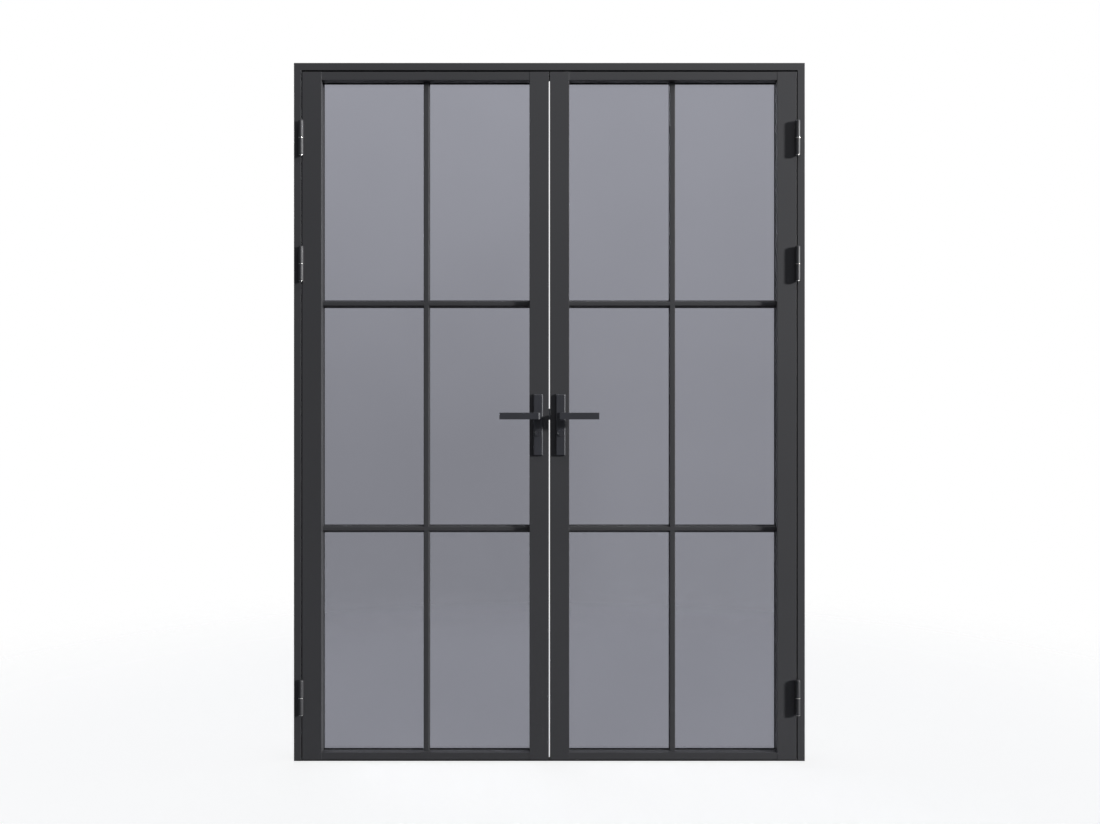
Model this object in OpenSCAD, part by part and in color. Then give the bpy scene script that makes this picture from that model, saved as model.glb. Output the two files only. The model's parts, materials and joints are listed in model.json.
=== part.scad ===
// Pair of glazed steel doors in a steel frame, each leaf divided into six panes.
// Millimetres. X runs across the doorway, Y from the opening side (-Y) to the stop side (+Y), Z is up.
// The origin is on the floor, midway between the jambs and midway through the thickness of the leaves.
// Both halves are built on the +X side, and the left one is mirrored.

/* [Frame] */
// Overall width of the frame
frame_w = 1537; // [1200:1:2000]
// Overall height of the frame
frame_h = 2100; // [1900:1:2600]
// Width of the jamb and head faces
frame_face = 22; // [20:0.5:60]
// Depth of the stop, from the seal to the back of the frame
stop_depth = 17; // [15:0.5:60]
// How far the stop stands out from the jamb, behind the leaf
stop_reach = 12; // [8:0.5:20]
// Wall of the hollow frame section
frame_wall = 2; // [1.5:0.1:3]
// Radius of the anchor holes through the frame
anchor_r = 4.5; // [3:0.1:5.5]
// Distance between the two anchors of a jamb pair
anchor_pitch = 500; // [300:10:700]
// Distance between the two anchors of the head
head_anchor_pitch = 800; // [400:10:1000]
// Thickness of the threshold strip
strip_t = 2.5; // [2:0.1:6]
// Depth of the threshold strip
strip_depth = 30; // [26:1:60]
// Thickness of the rubber seal on the stop
seal_t = 2.7; // [1.5:0.1:6]

/* [Gaps] */
// Gap between a leaf and its jamb
side_gap = 3; // [2.5:0.1:6]
// Gap between the two leaves
meeting_gap = 3; // [3:0.1:6]
// Gap between the top of a leaf and the head
top_gap = 4.5; // [4:0.1:8]
// Gap between the bottom of a leaf and the threshold strip
bottom_gap = 1.5; // [1:0.1:10]
// Free space between a leaf and the seal behind it
seal_gap = 0.3; // [0.1:0.1:1]

/* [Leaf] */
// Thickness of a leaf
leaf_t = 50; // [48:1:70]
// Width of a stile face
stile_w = 58; // [56:1:90]
// Height of the top rail face
top_rail_h = 25; // [22:0.5:120]
// Height of the bottom rail face
bottom_rail_h = 21; // [20:0.5:200]
// How far the rail faces lie behind the stile faces
rail_setback = 0.7; // [0:0.1:2]
// Wall of the hollow leaf sections
leaf_wall = 2; // [1.5:0.1:2.5]
// Depth of the front lip that the glass is set behind
lip_depth = 31; // [28:0.5:34]
// How far the lip covers the glass rebate
lip_cover = 12; // [9:0.5:14]

/* [Glazing bars] */
// Panes across one leaf
pane_columns = 2; // [2:1:3]
// Panes up one leaf
pane_rows = 3; // [3:1:5]
// Width of a horizontal bar at the glass
bar_w = 21; // [16:0.5:30]
// Width of the flat nose of a horizontal bar
bar_nose = 10; // [6:0.5:14]
// Width of an upright bar at the glass
upright_w = 17; // [16:0.5:30]
// Width of the flat nose of an upright bar
upright_nose = 15; // [6:0.5:15]
// How far the nose lies behind the leaf face
bar_setback = 21; // [16:0.5:24]
// Thickness of the straight edge of a bar's flange
bar_edge = 2; // [1:0.5:3]
// Thickness of the web between two panes
bar_web = 5; // [4:0.5:8]

/* [Glass] */
// Thickness of the glass
glass_t = 8; // [6:0.5:9]
// Free space round the edge of a pane
glass_gap = 2; // [1:0.5:3]
// Thickness of the rubber on each face of the glass
gasket_t = 2; // [1:0.5:3]
// How much of the front rubber shows past the lip
gasket_show = 1; // [1:0.5:4]
// Wall of the hollow glazing bead
bead_wall = 1.2; // [1:0.1:1.6]

/* [Hinges] */
// Height of the bottom hinge's centre above the floor
hinge_bottom = 192; // [120:1:300]
// Depth of the middle hinge's centre below the top of the frame
hinge_middle = 606; // [450:1:900]
// Depth of the top hinge's centre below the top of the frame
hinge_top = 228; // [120:1:300]
// Radius of the barrel
barrel_r = 7.5; // [6:0.5:9]
// Distance of the barrel axis in front of the leaf face
barrel_offset = 9.5; // [9:0.5:14]
// Length of one knuckle, without the domed cap
knuckle_h = 49; // [30:1:70]
// Height of the domed cap
cap_h = 5; // [3:0.5:6]
// Radius of the pin
pin_r = 4; // [3:0.5:5]
// Radial clearance round the pin
pin_fit = 0.05; // [0.02:0.01:0.1]
// Thickness of the washer between the knuckles
washer_t = 2; // [1:0.5:3]
// Radius of the ring under the lower knuckle
ring_r = 6.5; // [6:0.1:8]
// Width of a welding foot
foot_w = 5; // [3:0.5:6]

/* [Lever handle] */
// Height of the lever axis
lever_z = 1038; // [900:1:1200]
// Distance of the lever axis from the door's centre line
lever_x = 33.7; // [32:0.1:36]
// Reach of the lever from its axis to its tip
lever_reach = 114; // [90:1:140]
// Height of the lever bar
lever_h = 20; // [16:0.5:24]
// Thickness of the lever bar
lever_t = 13; // [10:0.5:16]
// How far the lever stands out from its plate
lever_stand = 50; // [44:1:70]
// Bevel on the corner of the lever
lever_bevel = 4; // [1:0.5:6]
// How far the lever turns, in degrees
lever_turn = 45; // [30:1:50]
// Radius of the lever's bearing in its plate
journal_r = 9.5; // [8:0.1:10]
// Side of the square spindle
spindle_side = 8; // [7:0.5:9]
// Clearance of the square spindle in its sockets
spindle_fit = 0.1; // [0.05:0.05:0.2]

/* [Handle plate] */
// Width of the plate
plate_w = 29; // [26:0.5:32]
// Height of the plate
plate_h = 184.5; // [182:0.5:220]
// Thickness of the plate
plate_t = 8; // [6:0.5:12]
// Bevel round the plate
plate_bevel = 2.5; // [0.5:0.5:4]
// Height of the plate's top edge above the lever axis
plate_above = 65.5; // [60:0.5:68]
// Radius of the ring round the cylinder
collar_r = 10.75; // [10:0.05:12]
// How far that ring stands out from the plate
collar_h = 4; // [2:0.5:6]
// Radius of a plate screw
plate_screw_r = 2.5; // [2:0.1:3]

/* [Lock] */
// Distance of the cylinder axis below the lever axis
cylinder_drop = 50; // [48:0.5:60]
// Radius of the cylinder body
cylinder_r = 8.5; // [8:0.1:8.9]
// Radius of the turning plug
plug_r = 6; // [5:0.1:6.5]
// Free space between the lock case and the leaf's wall behind it
case_gap = 2; // [0.5:0.1:3]
// Thickness of the lock case
case_t = 16; // [16:0.5:18]
// Wall of the lock case
case_wall = 1.5; // [1:0.1:1.7]
// Thickness of the bolts and of the latch
bolt_t = 12; // [8:0.5:12]
// Radius at which a hub arm's round tip turns
arm_r = 15.5; // [15:0.1:16]
// Radius at which the cam's round tip turns
cam_r = 14; // [13:0.1:14.5]
// Radius of those round tips
tip_r = 2.8; // [2.5:0.1:3]
// Thickness of the faceplate and of the strike plate
face_t = 2; // [1.5:0.1:2.5]
// Width of both plates
face_w = 22; // [18:0.5:24]
// Height of both plates
face_h = 144; // [140:1:149]
// Radius of the shoot bolt rods
rod_r = 4; // [3:0.1:4.5]

/* [Hidden] */
$fn = 64;
EPS = 0.01; // how far a cutting shape runs past the face it cuts

// Planes across the thickness
face_y = -leaf_t / 2;
back_y = leaf_t / 2;
stop_y = back_y + seal_gap + seal_t;
frame_back_y = stop_y + stop_depth;
lip_y = face_y + lip_depth;
glass_y = lip_y + gasket_t;
rear_gasket_y = glass_y + glass_t;
bead_y = rear_gasket_y + gasket_t;
bar_y = face_y + bar_setback;
anchor_y = (stop_y + frame_back_y) / 2;
lock_y = lip_y - leaf_wall - case_gap - case_t / 2;

// Edges across the doorway, on the +X side
jamb_x = frame_w / 2 - frame_face;
stop_x = jamb_x - stop_reach;
hinge_edge = jamb_x - side_gap;
meeting_edge = meeting_gap / 2;
sight_x0 = meeting_edge + stile_w;
sight_x1 = hinge_edge - stile_w;
rebate_x0 = sight_x0 - lip_cover;
rebate_x1 = sight_x1 + lip_cover;

// Levels
head_z = frame_h - frame_face;
leaf_z0 = strip_t + bottom_gap;
leaf_z1 = head_z - top_gap;
sight_z0 = leaf_z0 + bottom_rail_h;
sight_z1 = leaf_z1 - top_rail_h;
rebate_z0 = sight_z0 - lip_cover;
rebate_z1 = sight_z1 + lip_cover;
cylinder_z = lever_z - cylinder_drop;
plate_z1 = lever_z + plate_above;
plate_z0 = plate_z1 - plate_h;
plate_screw_inset = 15;
plate_screw_z = [plate_z0 + plate_screw_inset, plate_z1 - plate_screw_inset];
anchor_end = 300; // from an end of the jamb to its nearest anchor
anchor_z = [anchor_end, anchor_end + anchor_pitch,
    frame_h - anchor_end - anchor_pitch, frame_h - anchor_end];

// Centres of the glazing bars, which leave panes of equal sight size
pane_w = (sight_x1 - sight_x0 - (pane_columns - 1) * upright_w) / pane_columns;
pane_h = (sight_z1 - sight_z0 - (pane_rows - 1) * bar_w) / pane_rows;
bar_x = [for (i = [1:1:pane_columns - 1]) sight_x0 + i * (pane_w + upright_w) - upright_w / 2];
bar_z = [for (i = [1:1:pane_rows - 1]) sight_z0 + i * (pane_h + bar_w) - bar_w / 2];

// Edges of pane i along one direction: where it can be seen, and where its rebate ends
function sight_span(i, n, low, high, bars, w) =
    [i == 0 ? low : bars[i - 1] + w / 2, i == n - 1 ? high : bars[i] - w / 2];
function rebate_span(i, n, low, high, bars) =
    [i == 0 ? low : bars[i - 1] + bar_web / 2, i == n - 1 ? high : bars[i] - bar_web / 2];
function column_sight(i) = sight_span(i, pane_columns, sight_x0, sight_x1, bar_x, upright_w);
function column_rebate(i) = rebate_span(i, pane_columns, rebate_x0, rebate_x1, bar_x);
function row_sight(i) = sight_span(i, pane_rows, sight_z0, sight_z1, bar_z, bar_w);
function row_rebate(i) = rebate_span(i, pane_rows, rebate_z0, rebate_z1, bar_z);
function inset(span, d) = [span[0] + d, span[1] - d];

// Hinges
hinge_z = [hinge_bottom, frame_h - hinge_middle, frame_h - hinge_top];
barrel_x = jamb_x - side_gap / 2;
barrel_y = face_y - barrel_offset;
foot_start = 2.5; // from the barrel axis to the front of a welding foot
ring_h = 2;
pin_tip_r = 3;
pin_tip_h = 2.5;
cap_blend = 4.5;
pin_end_gap = 0.5;

// Lever and spindle
plate_y = face_y - plate_t;
lever_gap = 1; // between the lever's leg and its plate
lever_back_y = plate_y - lever_gap;
lever_front_y = plate_y - lever_stand;
socket_depth = 18;
socket_side = spindle_side + 2 * spindle_fit;
spindle_length = 2 * (-lever_back_y + socket_depth - 1);
journal_fit = 0.08;
spindle_hole_r = 8;
screw_hole_r = plate_screw_r + 0.5;
thread_fit = 0.05;
plate_hole_fit = 0.1;

// Latch, bolts and what drives them
half_turn = lever_turn / 2;
latch_throw = 2 * arm_r * sin(half_turn);
cam_turn = 45; // the cam swings this far either side of straight down
hub_r = 10;
hub_fit = 0.2;
arm_w = 3.6;
arm_t = 8;
cam_t = 7;
notch_play = 0.8; // space each side of a round tip in its notch
run_gap = 0.5; // between sliding pieces and what they pass
pocket_gap = 0.3; // round a bolt in its openings
case_end_gap = 2; // between the drawn-in deadbolt and the end of the case
face_inner_x = meeting_edge + face_t;
face_fit = 0.15;
face_z0 = lever_z - 100;
face_screw_inset = 7;
face_screw_z = [face_z0 + face_screw_inset, face_z0 + face_h - face_screw_inset];
face_screw_r = 2;
face_screw_head = 3.6;
face_screw_length = 10;
latch_z = [lever_z - 12, lever_z + 22];
latch_head_depth = 18.4;
bolt_z = [cylinder_z - 26, cylinder_z - 9];
bolt_notch = tip_r + notch_play + 0.1; // half the width of the deadbolt's notch
bolt_tail = 2.7; // steel behind that notch
bolt_end_x = lever_x + cam_r * sin(cam_turn) + bolt_notch + bolt_tail;
case_x1 = bolt_end_x + case_end_gap + case_wall;
case_z = inset([face_z0, face_z0 + face_h], 2);
gear_wall = 1.2;
gear_gap = 0.3; // between the inner eye and the gear case
eye_back = 1.6; // steel of an eye behind its notch
eye_front = 4.5; // from the middle of a round tip to the open side of its eye
gear_x = [lever_x - arm_r - tip_r - eye_back - gear_gap - gear_wall, sight_x0 - leaf_wall - 0.1];
gear_z = [lever_z - 38, lever_z + 32];
boss_inset = [9, 20]; // from the ends of the gear case to its bosses
rod_top_x = lever_x + arm_r;
link_h = 8;
link_z = lever_z - 36;
top_eye_z = [lever_z - 3, lever_z + 22];
bottom_eye_top = lever_z + 3;
rod_tip_top = leaf_z1 - 0.2 + latch_throw; // a drawn rod ends 0.2 mm inside the leaf
rod_tip_bottom = 0.3;
rod_fit = 0.5;
keep_r = 6.5;
keep_flange_r = 9.5;
keep_flange_t = 1.5;
keep_depth = 12;

STEEL = "#3b3b3e";
HARDWARE = "#38393d";
BRIGHT = "#b9babd";
RUBBER = "#161616";
GLASS = [0.57, 0.57, 0.61, 0.55];
SIDES = ["left", "right"];

// Puts what is built on the +X side on the left or on the right
module on_side(side) {
    if (side == "left") mirror([1, 0, 0]) children();
    else children();
}

// A box given by its spans along X, Y and Z
module span_box(x, y, z) {
    translate([x[0], y[0], z[0]]) cube([x[1] - x[0], y[1] - y[0], z[1] - z[0]]);
}

// A cylinder along Y between two planes, centred on (x, z)
module y_rod(x, z, r, y) {
    translate([x, y[0], z]) rotate([-90, 0, 0]) cylinder(h = y[1] - y[0], r = r);
}

// A cylinder along X between two planes, centred on (y, z)
module x_rod(y, z, r, x) {
    translate([x[0], y, z]) rotate([0, 90, 0]) cylinder(h = x[1] - x[0], r = r);
}

// A square prism along Y, upright
module y_square(x, z, side, y) {
    span_box([x - side / 2, x + side / 2], y, [z - side / 2, z + side / 2]);
}

// Extrudes an outline drawn in (Z, Y) along X, between two places
module along_x(x) {
    translate([x[1], 0, 0]) rotate([0, -90, 0]) linear_extrude(x[1] - x[0]) children();
}

// Extrudes an outline drawn in (X, Z) along Y, between two planes
module along_y(y) {
    translate([0, y[1], 0]) rotate([90, 0, 0]) linear_extrude(y[1] - y[0]) children();
}

// ---- Frame ----

// Section of a frame member: u runs from the doorway side outwards, and t is the inset for its bore
function frame_outline(t) = [
    [t, face_y + t], [frame_face - t, face_y + t], [frame_face - t, frame_back_y - t],
    [t - stop_reach, frame_back_y - t], [t - stop_reach, stop_y + t], [t, stop_y + t]];

module frame_section() {
    difference() {
        polygon(frame_outline(0));
        polygon(frame_outline(frame_wall));
    }
}

sleeve_wall = 1.5; // wall of the tube that keeps an anchor from crushing the section

module jamb() {
    difference() {
        union() {
            intersection() {
                translate([jamb_x, 0, 0]) linear_extrude(frame_h) frame_section();
                along_y([face_y - 1, frame_back_y + 1])
                    polygon([[stop_x - 1, -1], [frame_w / 2 + 1, -1], [frame_w / 2 + 1, frame_h + 1],
                        [stop_x - 1, frame_h - frame_face - stop_reach - 1]]);
            }
            for (z = anchor_z)
                x_rod(anchor_y, z, anchor_r + sleeve_wall,
                    [stop_x + frame_wall / 2, frame_w / 2 - frame_wall / 2]);
        }
        for (z = anchor_z) x_rod(anchor_y, z, anchor_r, [stop_x - 1, frame_w / 2 + 1]);
    }
}

module head() {
    difference() {
        union() {
            intersection() {
                translate([0, 0, head_z]) along_x([-frame_w / 2, frame_w / 2]) frame_section();
                along_y([face_y - 1, frame_back_y + 1])
                    polygon([[-frame_w / 2 - 1, frame_h + 1], [frame_w / 2 + 1, frame_h + 1],
                        [stop_x - 1, frame_h - frame_face - stop_reach - 1],
                        [-stop_x + 1, frame_h - frame_face - stop_reach - 1]]);
            }
            for (side = [-1, 1])
                translate([side * head_anchor_pitch / 2, anchor_y, head_z - stop_reach + frame_wall / 2])
                    cylinder(h = frame_face + stop_reach - frame_wall, r = anchor_r + sleeve_wall);
        }
        for (side = [-1, 1])
            translate([side * head_anchor_pitch / 2, anchor_y, head_z - stop_reach - 1])
                cylinder(h = frame_face + stop_reach + 2, r = anchor_r);
        translate([rod_top_x, lock_y, head_z - 1]) cylinder(h = frame_wall + 2, r = keep_r + 0.1);
    }
}

module threshold() {
    difference() {
        span_box([-jamb_x, jamb_x], [face_y, face_y + strip_depth], [0, strip_t]);
        translate([rod_top_x, lock_y, -1]) cylinder(h = strip_t + 2, r = rod_r + rod_fit);
    }
}

seal_inset = 1.5;
seal_w = stop_reach - 2 * seal_inset;

// Rubber strips on the front of the stop, which the leaves close against
module seals() {
    seal_y = [stop_y - seal_t, stop_y];
    seal_top = head_z - stop_reach + seal_inset;
    for (side = SIDES)
        on_side(side)
            span_box([stop_x + seal_inset, stop_x + seal_inset + seal_w], seal_y, [leaf_z0, seal_top]);
    span_box([-stop_x - seal_w - seal_inset, stop_x + seal_w + seal_inset], seal_y,
        [seal_top, seal_top + seal_w]);
}

// Bush in the head that the top bolt shoots into
module keep() {
    translate([rod_top_x, lock_y, head_z])
        difference() {
            union() {
                translate([0, 0, -keep_flange_t]) cylinder(h = keep_flange_t, r = keep_flange_r);
                cylinder(h = keep_depth, r = keep_r);
            }
            translate([0, 0, -keep_flange_t - 1])
                cylinder(h = keep_depth + keep_flange_t + 2, r = rod_r + rod_fit);
        }
}

// ---- Hinges ----

// Lower knuckle, welded to the jamb face by its foot
module frame_knuckle(z) {
    translate([barrel_x, barrel_y, z - washer_t / 2 - knuckle_h])
        difference() {
            union() {
                cylinder(h = knuckle_h, r = barrel_r);
                translate([side_gap / 2, foot_start, 0])
                    cube([foot_w, barrel_offset - foot_start, knuckle_h]);
            }
            translate([0, 0, -1]) cylinder(h = knuckle_h + 2, r = pin_r + pin_fit);
        }
}

// Upper knuckle with its domed cap, welded to the leaf face by its foot
module door_knuckle(z) {
    blend = min(cap_blend, cap_h);
    translate([barrel_x, barrel_y, z + washer_t / 2])
        difference() {
            union() {
                rotate_extrude() {
                    square([barrel_r, knuckle_h + cap_h - blend]);
                    square([barrel_r - blend, knuckle_h + cap_h]);
                    translate([barrel_r - blend, knuckle_h + cap_h - blend])
                        intersection() {
                            circle(r = blend);
                            square(blend);
                        }
                }
                translate([-side_gap / 2 - foot_w, foot_start, 0])
                    cube([foot_w, barrel_offset - foot_start, knuckle_h]);
            }
            translate([0, 0, -1]) cylinder(h = knuckle_h, r = pin_r + pin_fit);
        }
}

// Pin with the ring and the tip that show under the lower knuckle
module hinge_pin(z) {
    bottom = z - washer_t / 2 - knuckle_h;
    translate([barrel_x, barrel_y, bottom - ring_h - pin_tip_h]) {
        cylinder(h = pin_tip_h, r = pin_tip_r);
        translate([0, 0, pin_tip_h]) cylinder(h = ring_h, r = ring_r);
        translate([0, 0, pin_tip_h + ring_h])
            cylinder(h = 2 * knuckle_h + washer_t - 1 - pin_end_gap, r = pin_r);
    }
}

module hinge_washer(z) {
    translate([barrel_x, barrel_y, z - washer_t / 2])
        difference() {
            cylinder(h = washer_t, r = barrel_r);
            translate([0, 0, -1]) cylinder(h = washer_t + 2, r = pin_r + pin_fit);
        }
}

// ---- Leaf ----

// Section of a leaf member: u runs from its glass edge outwards, and t is the inset for its bore
function leaf_outline(face, front, t) = [
    [t, front + t], [face - t, front + t], [face - t, back_y - t],
    [lip_cover + t, back_y - t], [lip_cover + t, lip_y - t], [t, lip_y - t]];

drain_r = 4; // the hinge stile drains through a hole in its foot

// Hollow upright with closed ends
module stile(glass_edge, outward) {
    translate([glass_edge, 0, 0])
        mirror([outward > 0 ? 0 : 1, 0, 0])
            difference() {
                translate([0, 0, leaf_z0]) linear_extrude(leaf_z1 - leaf_z0)
                    polygon(leaf_outline(stile_w, face_y, 0));
                translate([0, 0, leaf_z0 + leaf_wall]) linear_extrude(leaf_z1 - leaf_z0 - 2 * leaf_wall)
                    polygon(leaf_outline(stile_w, face_y, leaf_wall));
            }
}

module hinge_stile() {
    difference() {
        stile(sight_x1, 1);
        translate([(sight_x1 + hinge_edge) / 2, lock_y, leaf_z0 - 1])
            cylinder(h = leaf_wall + 2, r = drain_r);
    }
}

// The meeting stile has the holes for the lever spindle, the cylinder, the plate screws and a face plate
module meeting_stile() {
    difference() {
        stile(sight_x0, -1);
        y_rod(lever_x, lever_z, spindle_hole_r, [face_y - 1, back_y + 1]);
        y_rod(lever_x, cylinder_z, cylinder_r + run_gap, [face_y - 1, back_y + 1]);
        for (z = plate_screw_z) y_rod(lever_x, z, screw_hole_r, [face_y - 1, back_y + 1]);
        span_box([meeting_edge - 1, meeting_edge + leaf_wall + EPS],
            [lock_y - face_w / 2 - face_fit, lock_y + face_w / 2 + face_fit],
            [face_z0 - face_fit, face_z0 + face_h + face_fit]);
        for (z = [leaf_z0 - 1, leaf_z1 - leaf_wall - 1])
            translate([rod_top_x, lock_y, z]) cylinder(h = leaf_wall + 2, r = rod_r + rod_fit);
    }
}

// Rail between the stiles. Its back part runs on into the stiles' glass rebates.
module rail(glass_edge, height, upward) {
    front = face_y + rail_setback;
    translate([0, 0, glass_edge])
        mirror([0, 0, upward > 0 ? 0 : 1])
            difference() {
                union() {
                    along_x([sight_x0, sight_x1]) polygon(leaf_outline(height, front, 0));
                    along_x([rebate_x0, rebate_x1])
                        polygon([[lip_cover, lip_y], [height, lip_y], [height, back_y], [lip_cover, back_y]]);
                }
                along_x([rebate_x0 - 1, rebate_x1 + 1]) polygon(leaf_outline(height, front, leaf_wall));
            }
}

// Front flange of a glazing bar, with its putty-line slopes, about u = 0
module bar_flange(w, nose) {
    polygon([[-nose / 2, bar_y], [nose / 2, bar_y], [w / 2, lip_y - bar_edge],
        [w / 2, lip_y], [-w / 2, lip_y], [-w / 2, lip_y - bar_edge]]);
}

module bar_web_section() {
    polygon([[-bar_web / 2, lip_y], [bar_web / 2, lip_y], [bar_web / 2, back_y], [-bar_web / 2, back_y]]);
}

module horizontal_bar(z) {
    translate([0, 0, z]) {
        along_x([sight_x0, sight_x1]) bar_flange(bar_w, bar_nose);
        along_x([rebate_x0, rebate_x1]) bar_web_section();
    }
}

// One stretch of an upright bar between two rows' ends, coped over the horizontal bars it meets
module vertical_bar(x, row) {
    low = row == 0 ? sight_z0 : bar_z[row - 1];
    high = row == pane_rows - 1 ? sight_z1 : bar_z[row];
    low_web = row == 0 ? rebate_z0 : low;
    high_web = row == pane_rows - 1 ? rebate_z1 : high;
    difference() {
        translate([x, 0, 0]) {
            translate([0, 0, low]) linear_extrude(high - low) bar_flange(upright_w, upright_nose);
            translate([0, 0, low_web]) linear_extrude(high_web - low_web) bar_web_section();
        }
        for (z = bar_z)
            translate([0, 0, z]) along_x([x - upright_w, x + upright_w]) {
                bar_flange(bar_w, bar_nose);
                bar_web_section();
            }
    }
}

module vertical_bars() {
    for (x = bar_x, row = [0:pane_rows - 1]) vertical_bar(x, row);
}

module panes() {
    for (column = [0:pane_columns - 1], row = [0:pane_rows - 1])
        span_box(inset(column_rebate(column), glass_gap), [glass_y, rear_gasket_y],
            inset(row_rebate(row), glass_gap));
}

// Flat ring of rubber between two rectangles
module gasket_ring(outer_x, outer_z, inner_x, inner_z, y) {
    difference() {
        span_box(outer_x, y, outer_z);
        span_box(inner_x, [y[0] - 1, y[1] + 1], inner_z);
    }
}

module gaskets() {
    for (column = [0:pane_columns - 1], row = [0:pane_rows - 1]) {
        outer_x = inset(column_rebate(column), glass_gap);
        outer_z = inset(row_rebate(row), glass_gap);
        inner_x = inset(column_sight(column), gasket_show);
        inner_z = inset(row_sight(row), gasket_show);
        gasket_ring(outer_x, outer_z, inner_x, inner_z, [lip_y, glass_y]);
        gasket_ring(outer_x, outer_z, inner_x, inner_z, [rear_gasket_y, bead_y]);
    }
}

bead_joint = 0.2; // hairline between two strips at a corner

module bead_tube(w, t) {
    difference() {
        square([w, t]);
        translate([bead_wall, bead_wall]) square([w - 2 * bead_wall, t - 2 * bead_wall]);
    }
}

// Four hollow strips round each pane, which hold the glass in from behind
module beads() {
    bead_t = back_y - bead_y;
    for (column = [0:pane_columns - 1], row = [0:pane_rows - 1]) {
        outer_x = column_rebate(column);
        outer_z = row_rebate(row);
        inner_x = column_sight(column);
        inner_z = row_sight(row);
        for (x = [[outer_x[0], inner_x[0]], [inner_x[1], outer_x[1]]])
            translate([x[0], bead_y, outer_z[0]])
                linear_extrude(outer_z[1] - outer_z[0]) bead_tube(x[1] - x[0], bead_t);
        for (z = [[outer_z[0], inner_z[0]], [inner_z[1], outer_z[1]]])
            translate([0, bead_y, z[0]])
                along_x(inset(inner_x, bead_joint)) bead_tube(z[1] - z[0], bead_t);
    }
}

// ---- Handle ----

// L-shaped lever with its round bearing and square socket. It points away from the door's centre.
module lever() {
    leg = lever_t / 2;
    x0 = lever_x - leg;
    x1 = lever_x + lever_reach;
    difference() {
        union() {
            translate([0, 0, lever_z - lever_h / 2])
                linear_extrude(lever_h)
                    polygon([[x0, lever_back_y], [x0, lever_front_y + lever_bevel],
                        [x0 + lever_bevel, lever_front_y], [x1 - 1, lever_front_y],
                        [x1, lever_front_y + 1], [x1, lever_front_y + lever_t],
                        [lever_x + leg, lever_front_y + lever_t], [lever_x + leg, lever_back_y]]);
            y_rod(lever_x, lever_z, journal_r, [lever_back_y - EPS, face_y - 1]);
        }
        y_square(lever_x, lever_z, socket_side, [lever_back_y - socket_depth, face_y]);
    }
}

// Plate with bevelled edges, drilled for the lever and the cylinder
module plate_blank() {
    y = [plate_y, face_y];
    x = [lever_x - plate_w / 2, lever_x + plate_w / 2];
    difference() {
        union() {
            intersection() {
                translate([0, 0, plate_z0]) linear_extrude(plate_h)
                    polygon([[x[0], y[1]], [x[0], y[0] + plate_bevel], [x[0] + plate_bevel, y[0]],
                        [x[1] - plate_bevel, y[0]], [x[1], y[0] + plate_bevel], [x[1], y[1]]]);
                along_x([x[0] - 1, x[1] + 1])
                    polygon([[plate_z0, y[1]], [plate_z0, y[0] + plate_bevel],
                        [plate_z0 + plate_bevel, y[0]], [plate_z1 - plate_bevel, y[0]],
                        [plate_z1, y[0] + plate_bevel], [plate_z1, y[1]]]);
            }
            y_rod(lever_x, cylinder_z, collar_r, [plate_y - collar_h, plate_y + EPS]);
        }
        y_rod(lever_x, lever_z, journal_r + journal_fit, [y[0] - 1, y[1] + 1]);
        y_rod(lever_x, cylinder_z, cylinder_r + plate_hole_fit, [y[0] - collar_h - 1, y[1] + 1]);
    }
}

outside_screw_depth = 5;
screw_head_r = 5;
screw_head_h = 3;

module outside_plate() {
    difference() {
        plate_blank();
        for (z = plate_screw_z)
            y_rod(lever_x, z, plate_screw_r + thread_fit, [face_y - outside_screw_depth, face_y + 1]);
    }
}

// A countersunk hole or head, which opens towards +Y at y
module countersink(x, z, y, play) {
    translate([x, y - screw_head_h, z]) rotate([-90, 0, 0])
        cylinder(h = screw_head_h, r1 = plate_screw_r + play, r2 = screw_head_r + play);
}

module inside_plate() {
    difference() {
        mirror([0, 1, 0]) plate_blank();
        for (z = plate_screw_z) {
            y_rod(lever_x, z, plate_screw_r + 2 * thread_fit, [back_y - 1, -plate_y + 1]);
            countersink(lever_x, z, -plate_y + EPS, 2 * thread_fit);
        }
    }
}

module handle_screws() {
    for (z = plate_screw_z) {
        y_rod(lever_x, z, plate_screw_r, [face_y - outside_screw_depth + 0.5, -plate_y - screw_head_h + EPS]);
        countersink(lever_x, z, -plate_y, 0);
    }
}

module spindle() {
    y_square(lever_x, lever_z, spindle_side, [-spindle_length / 2, spindle_length / 2]);
}

// ---- Lock ----

case_y = [lock_y - case_t / 2, lock_y + case_t / 2];
case_inner_y = inset(case_y, case_wall);
bolt_y = [lock_y - bolt_t / 2, lock_y + bolt_t / 2];
arm_y = [lock_y - arm_t / 2, lock_y + arm_t / 2];
case_bore_r = 8; // radius of a hub's bearings in the case walls
case_bore_fit = 0.08;

// Bar with a round tip, from the axis of a hub or plug. Angle 0 points along +X, and 90 straight up.
module driving_arm(z, angle, reach, y) {
    translate([lever_x, 0, z]) rotate([0, -angle, 0]) {
        span_box([0, reach], y, [-arm_w / 2, arm_w / 2]);
        y_rod(reach, 0, tip_r, y);
    }
}

// Hub with the given arm angles, turned by the square spindle
module hub(angles) {
    difference() {
        union() {
            y_rod(lever_x, lever_z, hub_r, inset(case_inner_y, hub_fit));
            y_rod(lever_x, lever_z, case_bore_r, case_y);
            for (angle = angles) driving_arm(lever_z, angle, arm_r, arm_y);
        }
        y_square(lever_x, lever_z, socket_side, [case_y[0] - 1, case_y[1] + 1]);
    }
}

latch_bevel_x = 10;
latch_bevel_y = bolt_t - 2.5;

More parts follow.
